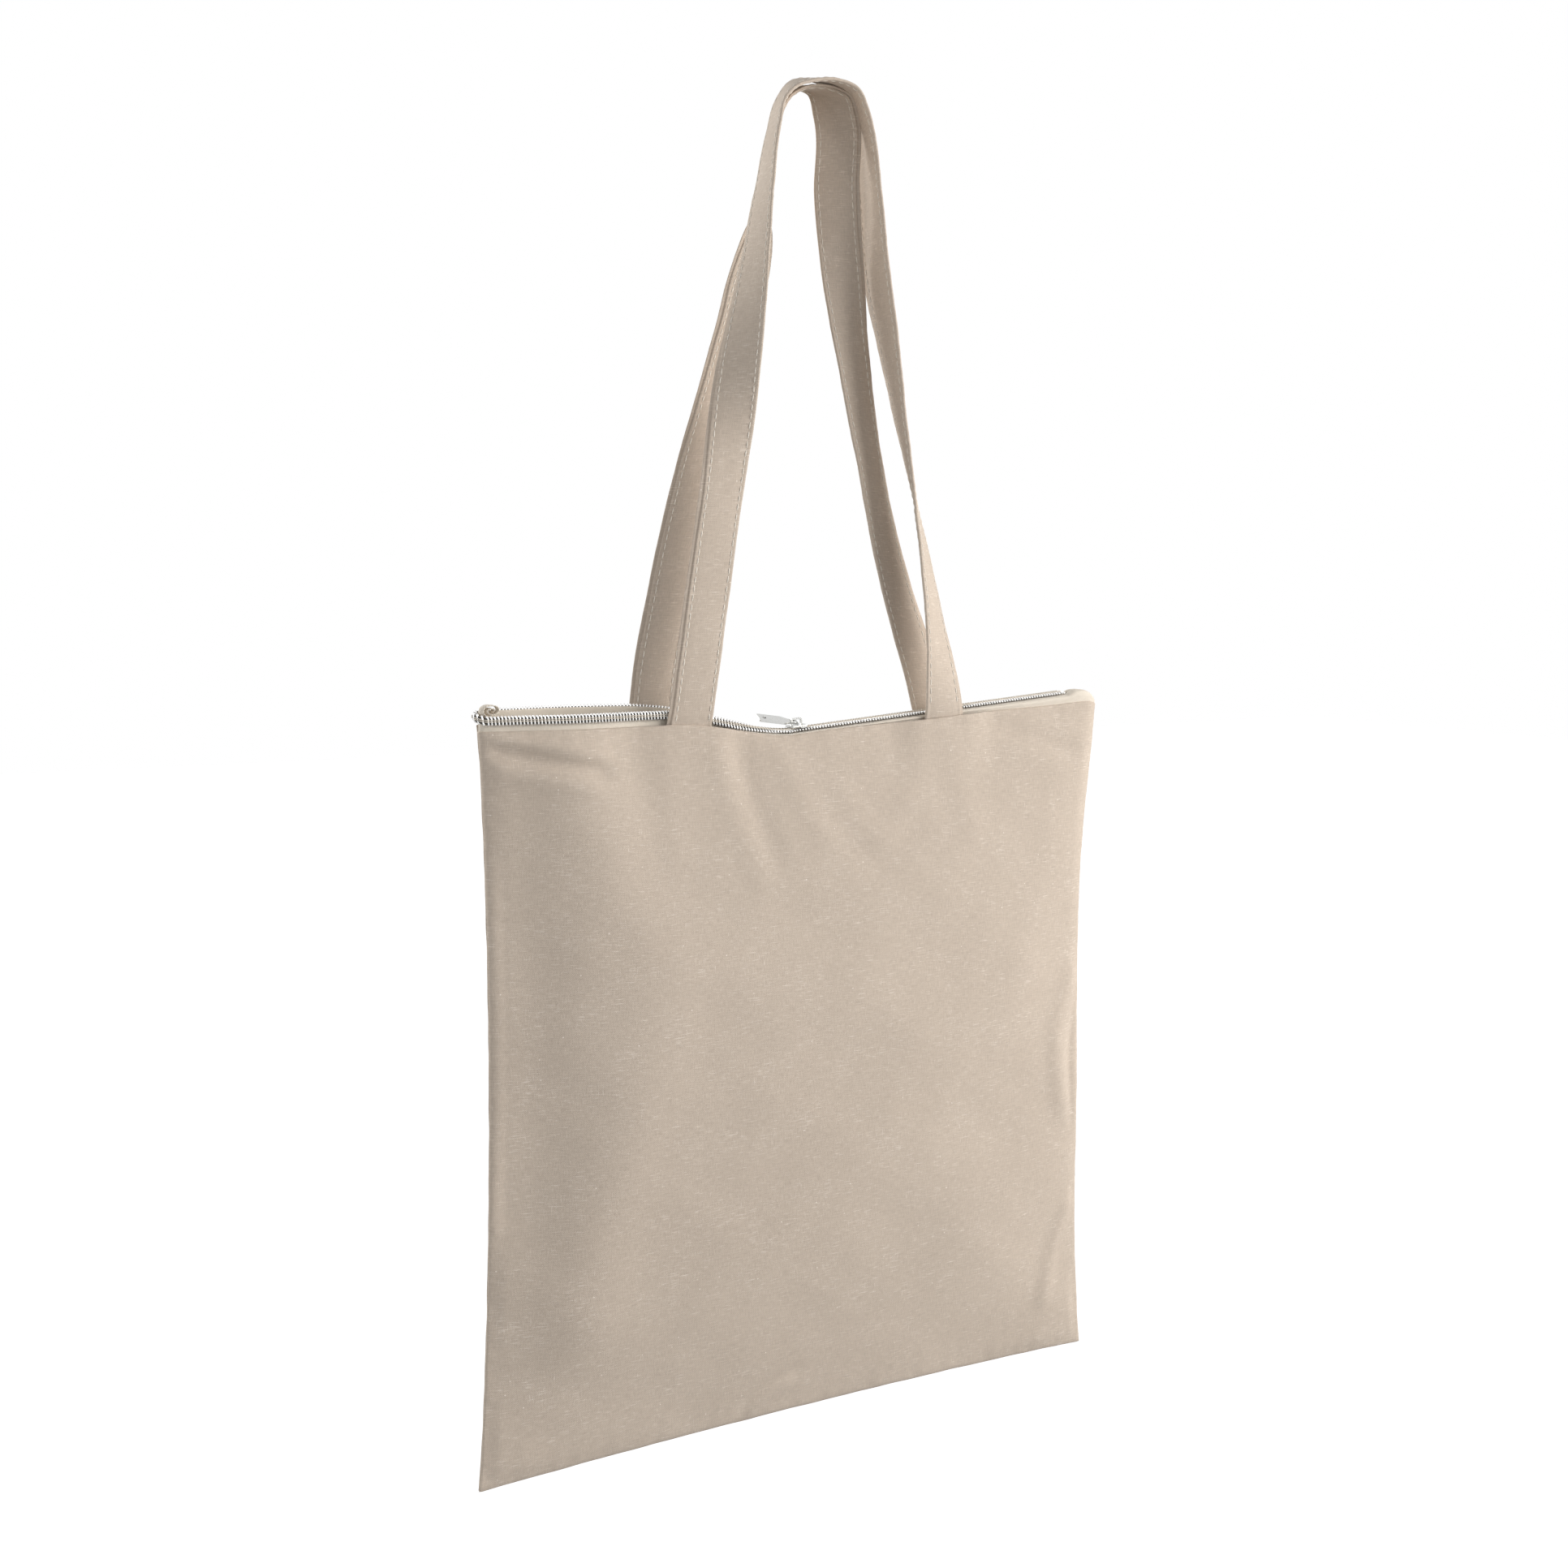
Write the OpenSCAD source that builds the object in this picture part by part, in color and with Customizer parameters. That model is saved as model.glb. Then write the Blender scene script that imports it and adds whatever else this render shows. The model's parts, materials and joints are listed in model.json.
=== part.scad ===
// Zip-top cotton carrying bag, hanging from a peg by its two long handles.
// Origin: the axis of the peg that the straps lie over, midway along their width.
// +X runs along the bag to the closed end of the zip, -Y is the front, +Z is up.

/* [Bag body] */
// Width of the bag along the mouth
bag_w = 380; // [372:1:390]
// Height from the zip's top at a side edge to the bottom edge
bag_h = 400; // [380:1:420]
// How far each panel bulges at its middle
belly = 17; // [12:1:20]
// How far each side edge draws in at mid height
side_bow = 6; // [2:1:8]
// Rise of the bottom edge at its middle
bottom_rise = 3; // [0:0.5:5]
// Thickness of the panel cloth
cloth_t = 0.9; // [0.8:0.1:1]
// Distance of the bag's middle to the right of the peg
hang_x = 4.5; // [4:0.5:5]

/* [Mouth and zip] */
// Height of the peg's axis over the zip's top at a side edge
mouth_drop = 336; // [334:1:338]
// Distance from the centre plane to the sewn edge of each panel
mouth_half = 5.6; // [5.5:0.1:5.8]
// Extra half opening where the zip is undone
mouth_spread = 5; // [3:0.5:6]
// Depth of the dip in the zip's line just before the slider
zip_dip = 13.1; // [12.5:0.1:13.5]
// Rise of the closed run of the zip towards its end, in degrees
zip_rise_deg = 5.1; // [4.9:0.1:5.3]
// Thickness of the zip tape
tape_t = 0.6; // [0.5:0.1:0.7]
// Width of one row of the zip's coil
coil_w = 4.8; // [4.6:0.1:5]
// Thickness of the coil
coil_t = 2.3; // [2.2:0.1:2.4]

/* [Slider and pull] */
// Place of the slider's middle along the mouth
slider_x = -8; // [-9:0.5:-7]
// Length of the slider
slider_l = 10.5; // [10:0.1:11]
// Width of the slider at its open end
slider_w = 9.2; // [9:0.1:9.2]
// Thickness of each of the slider's two plates
plate_t = 0.9; // [0.8:0.1:1]
// Length of the pull tab from its pivot to its free end
pull_l = 24; // [22:1:26]
// Width of the pull tab
pull_w = 8; // [7:0.5:8]
// Thickness of the pull tab
pull_t = 1; // [0.9:0.1:1]
// Radius of the hole at the pull's free end
pull_hole_r = 1.1; // [1:0.1:1.3]
// Lean of the pull tab towards the front, in degrees
pull_lean = 25; // [20:1:25]
// Upward slope of the resting pull tab, in degrees
pull_slope = 8; // [8:1:10]

/* [Handles] */
// Width of each strap
strap_w = 26; // [25:0.5:26]
// Thickness of each folded strap
strap_t = 1.8; // [1.6:0.1:1.8]
// Inset of the stitch rows from the strap's edges
stitch_inset = 2.5; // [2:0.5:3]

/* [Hidden] */

FRONT = -1;
REAR = 1;
half_w = bag_w / 2;
mouth_z = -mouth_drop;
edge_half = 0.65;                 // half distance between the panels' middles at a sewn edge
end_round = 14;                   // length over which the mouth closes at each side edge
dip_x = slider_x - slider_l / 2 - 1; // lowest point of the zip's line
spread_x = -140;                  // middle of the undone part
spread_half = 46;                 // half length of the widest undone part
unzip_len = 52;                   // length over which a coil turns from flat to upright
seam_tuck = 6;                    // height of tape sewn in below the mouth seam
tape_gap = 0.2;                   // gap from the tape to the cloth on each of its sides
tape_inset = cloth_t / 2 + tape_gap + tape_t / 2;
chain_half = 3.3;                 // half width of the closed coil chain
chain_clear = 0.2;                // half the slit between the two closed coils
tape_bow = 5.5;                   // half width over the tapes where they bend down from the closed chain
wedge_half = 0.9;                 // half width of the slider's wedge, which parts the coils
coil_gap = 0.1;                   // gap between a tape and its coil
coil_lift = tape_t / 2 + coil_gap + coil_t / 2;
flat_top = coil_lift + coil_t / 2; // height of the closed coil over the tape's middle
panel_x_steps = 42;
panel_z_steps = 20;
zip_steps = 58;
strap_steps = 4;                  // rings between two stations of a strap

// 0 below the start, 1 past the end, with a smooth rise between
function smooth(t) = let(c = min(1, max(0, t))) c * c * (3 - 2 * c);
function mix(a, b, t) = a + (b - a) * t;

// ---- line of the zip and of the mouth ----
function end_drop(x) = let(s = min(1, max(0, (x - half_w + 12) / 12))) 6 * (1 - sqrt(1 - s * s));
function zip_line(x) = x < dip_x
    ? -zip_dip * (1 - smooth((dip_x - x) / 74))
    : -zip_dip + (x - dip_x) * tan(zip_rise_deg) - end_drop(x);
function zip_top_z(x) = mouth_z + zip_line(x);
function tape_show(x) = 8.4 - 3.2 * smooth((x + 100) / 70) + 2.8 * smooth((x - 90) / 90);
function seam_z(x) = zip_top_z(x) - tape_show(x);
function end_close(x) = let(s = min(1, max(0, (abs(x) - half_w + end_round) / end_round))) sqrt(1 - s * s);
function undone(x) = abs(x - spread_x) > spread_half ? 0 : (1 + cos(180 * (x - spread_x) / spread_half)) / 2;
function mouth_gap(x) = edge_half + (mouth_half - edge_half + mouth_spread * undone(x)) * end_close(x);

// ---- cloth sheets: a grid of points thickened to both sides ----
function at(g, i, j) = g[max(0, min(len(g) - 1, i))][max(0, min(len(g[0]) - 1, j))];
function unit(v) = v / norm(v);
function sheet_normal(g, i, j) =
    unit(cross(at(g, i + 1, j) - at(g, i - 1, j), at(g, i, j + 1) - at(g, i, j - 1)));

module sheet(g, t) {
    ni = len(g);
    nj = len(g[0]);
    n = ni * nj;
    upper = [for (i = [0:ni - 1]) for (j = [0:nj - 1]) g[i][j] + sheet_normal(g, i, j) * t / 2];
    lower = [for (i = [0:ni - 1]) for (j = [0:nj - 1]) g[i][j] - sheet_normal(g, i, j) * t / 2];
    cells = [for (i = [0:ni - 2]) for (j = [0:nj - 2]) i * nj + j];
    rim = concat([for (j = [0:nj - 2]) [j, j + 1]],
                 [for (i = [0:ni - 2]) [i * nj + nj - 1, (i + 1) * nj + nj - 1]],
                 [for (j = [nj - 1:-1:1]) [(ni - 1) * nj + j, (ni - 1) * nj + j - 1]],
                 [for (i = [ni - 1:-1:1]) [i * nj, (i - 1) * nj]]);
    polyhedron(points = concat(upper, lower), convexity = 10, faces = concat(
        [for (c = cells) [c, c + 1, c + nj + 1]],
        [for (c = cells) [c, c + nj + 1, c + nj]],
        [for (c = cells) [n + c, n + c + nj + 1, n + c + 1]],
        [for (c = cells) [n + c, n + c + nj, n + c + nj + 1]],
        [for (e = rim) [e[0], n + e[0], n + e[1]]],
        [for (e = rim) [e[0], n + e[1], e[1]]]));
}

// ---- panels ----
function bottom_z(u) = mouth_z - bag_h + bottom_rise * (1 - u * u);
function panel_x(u, v) = u * (half_w - side_bow * pow(sin(180 * v), 0.7));
function panel_half(u, v) = mix(edge_half, mouth_gap(u * half_w), pow(1 - v, 1.6))
    + belly * pow(max(0, 1 - pow(abs(u), 2.2)), 0.8) * pow(sin(180 * v), 0.8);
function panel_point(side, u, v) =
    [panel_x(u, v), side * panel_half(u, v), mix(seam_z(u * half_w), bottom_z(u), v)];
// steps are closer together near the side edges, where the cloth turns most
function edge_fine(k, n) = -cos(180 * k / n);
function panel_grid(side) = [for (i = [0:panel_x_steps]) [for (j = [0:panel_z_steps])
    panel_point(side, edge_fine(side < 0 ? panel_x_steps - i : i, panel_x_steps), j / panel_z_steps)]];

module front_panel() { color([0.80, 0.75, 0.68]) sheet(panel_grid(FRONT), cloth_t); }
module rear_panel() { color([0.78, 0.73, 0.66]) sheet(panel_grid(REAR), cloth_t); }

// ---- seam allowances inside the bag, bound with thread ----
seam_in = 6;                      // distance from an edge of the bag to its allowance
seam_band = 7;                    // width of an allowance
seam_t = 1.2;                     // thickness of the doubled cloth
function side_strip(side) = [for (j = [1:18])
    let(v = j / 19, x = panel_x(1, v) - seam_in, z = panel_point(FRONT, side, v)[2])
    side > 0 ? [[x - seam_band, 0, z], [x, 0, z]] : [[-x, 0, z], [-x + seam_band, 0, z]]];
module left_side_seam() { color([0.86, 0.83, 0.76]) sheet(side_strip(-1), seam_t); }
module right_side_seam() { color([0.86, 0.83, 0.76]) sheet(side_strip(1), seam_t); }
module bottom_seam() {
    color([0.86, 0.83, 0.76]) sheet([for (i = [0:20])
        let(u = mix(-0.9, 0.9, i / 20), z = bottom_z(u) + seam_in)
        [[u * half_w, 0, z], [u * half_w, 0, z + seam_band]]], seam_t);
}
// the turned edge of a panel, sewn to the tape just inside the mouth
mouth_band = 9;
mouth_t = 1;
function mouth_strip(side) = [for (i = [0:40])
    let(x = mix(-half_w + 9, half_w - 9, (side < 0 ? 40 - i : i) / 40),
        y = side * (mouth_gap(x) - tape_inset - tape_t / 2 - tape_gap - mouth_t / 2), z = seam_z(x) - 0.5)
    [[x, y, z], [x, y, z - mouth_band]]];
module front_mouth_seam() { color([0.84, 0.80, 0.73]) sheet(mouth_strip(FRONT), mouth_t); }
module rear_mouth_seam() { color([0.84, 0.80, 0.73]) sheet(mouth_strip(REAR), mouth_t); }

// ---- zip tapes and coils: flat where closed, upright where undone ----
function upright(x) = 90 * smooth((slider_x - slider_l / 2 - x) / unzip_len);
function parting(x) = wedge_half + 0.4 - (wedge_half + 0.4) * smooth((x - slider_x + 5) / 4);
function zip_x(k, side) = mix(-half_w + 4, half_w - 4, (side < 0 ? zip_steps - k : k) / zip_steps);
function tape_y(x) = max(mouth_gap(x) - tape_inset, chain_half + 0.6);
function coil_foot(x) = let(a = upright(x))
    [mix(chain_half + parting(x), tape_y(x), sin(a)), zip_top_z(x) - mix(flat_top, coil_w, sin(a))];
function coil_head(x) = let(a = upright(x), w = mix(chain_half - chain_clear, coil_w, sin(a)))
    coil_foot(x) + w * [-cos(a), sin(a)];
function coil_out(x) = let(a = upright(x)) [sin(a), cos(a)];
function zip_point(x, side, yz) = [x, side * yz[0], yz[1]];
function sewn_y(x) = mouth_gap(x) - tape_inset;
function tape_grid(side) = [for (k = [0:zip_steps]) let(x = zip_x(k, side)) [
    zip_point(x, side, coil_head(x)),
    zip_point(x, side, coil_foot(x)),
    zip_point(x, side, [max(sewn_y(x), mix(tape_bow, sewn_y(x), upright(x) / 90)),
                        mix(seam_z(x), coil_foot(x)[1], 0.75)]),
    zip_point(x, side, [sewn_y(x), seam_z(x)]),
    zip_point(x, side, [sewn_y(x), seam_z(x) - seam_tuck])]];
// the row of sewing thread that runs over the middle of a coil, as shares of the coil's width
thread_from = 0.45;
thread_to = 0.62;
thread_t = 0.35;
thread_gap = 0.12;                // gap between a strap and its stitches
coil_thread_gap = 0.26;           // gap between a coil and its thread, where the coil twists
function coil_columns(side, shares, height) = [for (k = [0:zip_steps])
    let(x = zip_x(k, side), head = coil_head(x), foot = coil_foot(x))
    [for (s = shares) zip_point(x, side, mix(head, foot, s) + height * coil_out(x))]];
function coil_grid(side) = coil_columns(side, [0, 1], coil_lift);
function thread_grid(side) =
    coil_columns(side, [thread_from, thread_to], coil_lift + (coil_t + thread_t) / 2 + coil_thread_gap);

module front_zip_tape() { color([0.87, 0.84, 0.75]) sheet(tape_grid(FRONT), tape_t); }
module rear_zip_tape() { color([0.87, 0.84, 0.75]) sheet(tape_grid(REAR), tape_t); }
module front_zip_coil() { color([0.80, 0.81, 0.82]) sheet(coil_grid(FRONT), coil_t); }
module rear_zip_coil() { color([0.80, 0.81, 0.82]) sheet(coil_grid(REAR), coil_t); }
module front_coil_thread() { color([0.90, 0.87, 0.80]) sheet(thread_grid(FRONT), thread_t); }
module rear_coil_thread() { color([0.90, 0.87, 0.80]) sheet(thread_grid(REAR), thread_t); }

// ---- slider: two plates joined by a wedge, which parts the coils ----
channel_h = 4.2;                  // height between the plates
slider_lift = 0.75;               // gap from the coils to the upper plate
tail_w = 8.4;                     // width of the slider at its closed end
arch_w = 1.8;                     // width of the crown that holds the pull
arch_in = 3;                      // clear height under the crown
arch_t = 0.9;
arch_half = 3.5;
module on_slider() {
    translate([slider_x, 0, zip_top_z(slider_x) + slider_lift]) rotate([0, -zip_rise_deg, 0]) children();
}
// points of a rounded corner about a centre
function corner(x, y, r, from) = [for (a = [from:15:from + 90]) [x + r * cos(a), y + r * sin(a)]];
module slider_plate() {
    r = 1.2;
    front = slider_l / 2 - r;
    linear_extrude(plate_t) polygon(concat(
        corner(front, tail_w / 2 - r, r, 0), corner(-front, slider_w / 2 - r, r, 90),
        corner(-front, r - slider_w / 2, r, 180), corner(front, r - tail_w / 2, r, 270)));
}
module slider_body() {
    wedge_l = 3;
    lip_t = 0.6;
    lip_h = 0.8;
    color([0.78, 0.79, 0.81]) on_slider() {
        slider_plate();
        translate([0, 0, -channel_h - plate_t]) slider_plate();
        translate([-slider_l / 2, 0, -channel_h - 0.01]) linear_extrude(channel_h + 0.02)
            polygon([[0, -wedge_half], [wedge_l, 0], [0, wedge_half]]);
        for (side = [FRONT, REAR])
            translate([slider_l / 4, side * (tail_w / 2 - lip_t / 2), -lip_h]) linear_extrude(lip_h + 0.01)
                square([slider_l / 2 - 1.5, lip_t], center = true);
    }
}
module slider_crown() {
    rise = arch_in + arch_t;
    color([0.82, 0.83, 0.85]) on_slider() translate([0, arch_w / 2, plate_t]) rotate([90, 0, 0])
        linear_extrude(arch_w) difference() {
            translate([-arch_half, 0]) square([2 * arch_half, rise]);
            translate([-arch_half + arch_t, -0.01]) square([2 * (arch_half - arch_t), arch_in + 0.01]);
            for (side = [-1, 1]) translate([side * arch_half, rise]) rotate(45) square(1.2, center = true);
        }
}

// ---- pull tab: a plate whose neck has a window round the crown, with a small hole at its free end ----
neck_w = 4.2;
neck_l = 5.2;                     // length of the neck from the pivot to the shoulders
shoulder_l = 3.5;                 // length over which the neck widens to the plate
window_l = 3.6;
window_w = 2.8;
pivot_bar = 1;                    // bar at the window's end, which lies under the crown
hole_in = 4;                      // distance of the hole from the free end
pull_pivot = plate_t + arch_in / 2;
module pull_tab() {
    r = 1.5;
    color([0.88, 0.89, 0.90]) on_slider() translate([0, 0, pull_pivot])
        rotate([0, zip_rise_deg + pull_slope, 0]) rotate([pull_lean, 0, 0])
        translate([0, 0, -pull_t / 2]) difference() {
            linear_extrude(pull_t) difference() {
                polygon(concat(
                    [[pivot_bar / 2, -neck_w / 2], [pivot_bar / 2, neck_w / 2], [-neck_l, neck_w / 2],
                     [-neck_l - shoulder_l, pull_w / 2]],
                    corner(r - pull_l, pull_w / 2 - r, r, 90), corner(r - pull_l, r - pull_w / 2, r, 180),
                    [[-neck_l - shoulder_l, -pull_w / 2], [-neck_l, -neck_w / 2]]));
                translate([-pivot_bar / 2 - window_l, -window_w / 2]) square([window_l, window_w]);
            }
            translate([hole_in - pull_l, 0, -1]) cylinder(r = pull_hole_r, h = pull_t + 2, $fn = 48);
        }
}

// ---- handles: flat straps that turn from the mouth seam to the peg ----
// each station: x, y, z of the strap's middle, then the heading and the tilt of its width in degrees
FRONT_ROUTE = [
    [-76, -9.5, -343.9, 0, 0], [-75.3, -9.5, -336, 0, 0], [-65.5, -9.2, -269, 0, 0],
    [-54, -8.5, -195, -6, 0],
    [-47, -7.5, -148, -42, 0], [-38.5, -6.5, -100, -71, 0], [-31.5, -6, -52, -88, 0], [-25.5, -6, -16, -97, 0],
    [-20.5, -6, 2, -100, -10], [-12.5, -6, 12, -101, -20], [0, -6, 16, -101, -17], [13.5, -6, 16, -102, -6],
    [25, -6, 12, -103, 2], [30.5, -6, -1, -98, 3], [35, -6, -45, -88, 0], [40, -6.5, -94, -84, 0],
    [46, -7, -125, -92, 0], [52.5, -7.5, -160, -103, 0], [61, -8, -204, -116, 0], [71, -8.5, -252, -132, 0],
    [79, -9, -299, -150, 0], [84, -8.8, -336, -174, 0], [84.5, -8.6, -343.9, -180, 0]];
REAR_ROUTE = [
    [-92, 10.4, -343.9, 0, 0], [-91.1, 10.4, -336, 0, 0], [-79.5, 10.6, -269, 0, 0], [-65, 11, -205, 2, 0],
    [-50.5, 12.5, -157, 5, 0], [-40, 14.5, -122, 6, 0], [-31.5, 16, -92, 12, 0], [-25, 17.5, -70, 33, 0],
    [-20.5, 14, -52, 62, 0], [-20, 9.5, -34, 76, 0], [-18.5, 7.5, -16, 80, 0], [-16, 6.5, -3, 82, 0],
    [-11.5, 6, 6, 90, 6], [-4, 5, 11.5, 104, 10], [5, 3, 12.5, 118, 10], [13, 1, 9.5, 138, 6],
    [17, 0, -3, 152, 0], [17.5, 0, -46, 155, 0], [22.5, 2, -90, 170, 0], [28, 4, -124, 188, 0],
    [34.5, 5, -159, 199, 0], [42, 6, -195, 205, 0], [55.5, 8, -249, 200, 0], [70, 10, -292, 190, 0],
    [84.5, 9.6, -336, 180, 0], [86, 9.2, -343.9, 180, 0]];

function place(s) = [s[0], s[1], s[2]];
function stride(r, i) = norm(place(r[i + 1]) - place(r[i]));
function slope(r, i) = let(n = len(r) - 1)
    i == 0 ? (r[1] - r[0]) / stride(r, 0)
    : i == n ? (r[n] - r[n - 1]) / stride(r, n - 1)
    : let(a = stride(r, i - 1), b = stride(r, i))
      ((r[i] - r[i - 1]) / a * b + (r[i + 1] - r[i]) / b * a) / (a + b);
function between(r, i, t) = let(h = stride(r, i), t2 = t * t, t3 = t2 * t)
    (2 * t3 - 3 * t2 + 1) * r[i] + (t3 - 2 * t2 + t) * h * slope(r, i)
    + (3 * t2 - 2 * t3) * r[i + 1] + (t3 - t2) * h * slope(r, i + 1);
function rings(r) = concat(
    [for (i = [0:len(r) - 2]) for (k = [0:strap_steps - 1]) between(r, i, k / strap_steps)],
    [r[len(r) - 1]]);
function across(s) = [cos(s[3]) * cos(s[4]), sin(s[3]) * cos(s[4]), sin(s[4])];
// a band of the strap through the given offsets across it
function band(r, offsets) = [for (s = rings(r)) [for (d = offsets) place(s) + d * across(s)]];
// the band raised off the strap's middle
function raised(g, lift) = [for (i = [0:len(g) - 1])
    [for (j = [0:len(g[0]) - 1]) g[i][j] + lift * sheet_normal(g, i, j)]];

stitch_w = 0.5;
stitch_out = strap_w / 2 - stitch_inset + stitch_w / 2; // outer edge of a stitch row
stitch_in = stitch_out - stitch_w;
module strap(route) {
    sheet(band(route, [strap_w / 2, stitch_out, stitch_in, -stitch_in, -stitch_out, -strap_w / 2]), strap_t);
}
module stitch_rows(route) {
    for (face = [-1, 1], row = [[stitch_out, stitch_in], [-stitch_in, -stitch_out]])
        sheet(raised(band(route, row), face * (strap_t / 2 + thread_gap + thread_t / 2)), thread_t);
}
module front_handle() { color([0.74, 0.68, 0.61]) strap(FRONT_ROUTE); }
module rear_handle() { color([0.70, 0.65, 0.57]) strap(REAR_ROUTE); }
module front_handle_stitching() { color([0.84, 0.79, 0.71]) stitch_rows(FRONT_ROUTE); }
module rear_handle_stitching() { color([0.82, 0.77, 0.69]) stitch_rows(REAR_ROUTE); }

// everything hangs from the peg
module hung() { translate([hang_x, 0, 0]) children(); }

hung() front_panel();
hung() rear_panel();
hung() left_side_seam();
hung() right_side_seam();
hung() bottom_seam();
hung() front_mouth_seam();
hung() rear_mouth_seam();
hung() front_zip_tape();
hung() rear_zip_tape();
hung() front_zip_coil();
hung() rear_zip_coil();
hung() front_coil_thread();
hung() rear_coil_thread();
hung() slider_body();
hung() slider_crown();
hung() pull_tab();
hung() front_handle();
hung() rear_handle();
hung() front_handle_stitching();
hung() rear_handle_stitching();
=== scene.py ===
import json
import math

import bpy
import numpy as np
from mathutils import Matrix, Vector


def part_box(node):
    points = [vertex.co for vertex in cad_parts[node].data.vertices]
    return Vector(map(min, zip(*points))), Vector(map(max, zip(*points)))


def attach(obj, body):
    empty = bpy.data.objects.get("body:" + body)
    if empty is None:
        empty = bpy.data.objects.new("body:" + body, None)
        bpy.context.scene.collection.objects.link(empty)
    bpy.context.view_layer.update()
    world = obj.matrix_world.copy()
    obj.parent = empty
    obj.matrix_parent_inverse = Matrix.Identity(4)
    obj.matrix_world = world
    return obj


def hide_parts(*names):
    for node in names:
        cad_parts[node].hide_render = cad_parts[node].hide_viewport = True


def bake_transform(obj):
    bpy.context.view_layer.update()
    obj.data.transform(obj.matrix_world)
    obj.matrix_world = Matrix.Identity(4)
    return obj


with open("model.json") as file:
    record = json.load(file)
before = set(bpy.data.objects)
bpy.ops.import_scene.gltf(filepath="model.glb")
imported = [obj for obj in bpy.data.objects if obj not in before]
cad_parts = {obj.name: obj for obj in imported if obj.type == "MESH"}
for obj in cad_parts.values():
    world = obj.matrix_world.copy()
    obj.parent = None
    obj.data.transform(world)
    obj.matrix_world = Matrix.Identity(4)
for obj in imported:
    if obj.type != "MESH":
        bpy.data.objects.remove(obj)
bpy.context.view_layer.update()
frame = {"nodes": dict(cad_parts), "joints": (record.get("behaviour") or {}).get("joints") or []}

# The bag is worked out in millimetres, with x measured from the bag's middle, and moved
# into the shared frame, in metres, when a mesh is made.
MM = 0.001

# ---- sizes that the frame gives ----
cloth_t = 0.9
bag_h = 400
panel_low, panel_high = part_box("front_panel")
hang_x = (panel_low.x + panel_high.x) / 2 / MM
half_w = (panel_high.x - panel_low.x) / 2 / MM - cloth_t / 2
mouth_z = panel_low.z / MM + bag_h
slider_low, slider_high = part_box("slider_body")
slider_x = (slider_low.x + slider_high.x) / 2 / MM - hang_x
joints = {joint["name"]: joint for joint in frame["joints"]}
zip_axis = joints["slider_travel"]["axis"]
zip_rise = zip_axis[2] / zip_axis[0]

# ---- the bag's own shape ----
belly = 17
side_bow = 6
bottom_rise = 3
edge_half = 0.65
end_round = 14
mouth_half = 5.6
mouth_spread = 5
spread_x = -140
spread_half = 46
zip_dip = 13.1
undone_rise_l = 74                # the undone edge rises to its full height over this length
slider_l = 10.5
dip_x = slider_x - slider_l / 2 - 1
unzip_len = 52
tape_t = 0.6
tape_inset = 0.95
tape_bow = 5.5
seam_tuck = 6
chain_half = 3.3
chain_clear = 0.2
wedge_half = 0.9
coil_w = 4.8
coil_t = 2.3
coil_lift = tape_t / 2 + 0.1 + coil_t / 2
flat_top = coil_lift + coil_t / 2
zip_end = half_w - 4
right_reach = 7                   # the right side seam leans out by this much at the mouth
right_lean_in = 3.5               # and is this much further in low down
right_end = half_w + right_reach
corner_l = 15                     # the zip's right end turns down over this length
corner_drop = 12
rear_rise = 3.4                   # the undone rear edge hangs this much higher than the front
FRONT = -1
REAR = 1


def smooth(t):
    c = np.clip(t, 0, 1)
    return c * c * (3 - 2 * c)


def mix(a, b, t):
    return a + (b - a) * t


def unit(v):
    return v / np.maximum(np.linalg.norm(v, axis=-1, keepdims=True), 1e-9)


def zip_top_z(x):
    """Height of the zip's top along the mouth: undone to the left of its lowest point."""
    undone_part = -zip_dip * (1 - smooth((dip_x - x) / undone_rise_l))
    closed_part = -zip_dip + (x - dip_x) * zip_rise - corner_drop * (1 - end_arc(x))
    return mouth_z + np.where(x < dip_x, undone_part, closed_part)


def end_arc(x):
    """One along the mouth, and down to zero round its right corner."""
    s = np.clip((x - right_end + corner_l) / corner_l, 0, 1)
    return np.sqrt(1 - s * s)


def tape_show(x):
    """How much of the tape shows above the mouth seam: least near the slider."""
    undone_band = 8.4
    narrowing = 3.2 * smooth((x + 100) / 70)
    widening = 2.8 * smooth((x - 90) / 90)
    near_slider = 1.8 * np.exp(-((x / 55) ** 2))
    return (undone_band - narrowing + widening - near_slider) * end_arc(x)


def seam_z(x):
    """Height of the seam between the panel and the tape."""
    return zip_top_z(x) - tape_show(x)


def mouth_gap(x):
    """Half the distance between the panels at the mouth."""
    s = np.clip((np.maximum(-x, x - right_reach) - half_w + end_round) / end_round, 0, 1)
    near = np.abs(x - spread_x) < spread_half
    undone = np.where(near, (1 + np.cos(np.pi * (x - spread_x) / spread_half)) / 2, 0)
    return edge_half + (mouth_half - edge_half + mouth_spread * undone) * np.sqrt(1 - s * s)


def rear_lift(x, side):
    """The rear edge of the undone part hangs a little higher than the front edge."""
    if side == FRONT:
        return 0 * x
    return rear_rise * smooth((-60 - x) / 50)


def bottom_z(u):
    return mouth_z - bag_h + bottom_rise * (1 - u * u)


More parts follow.
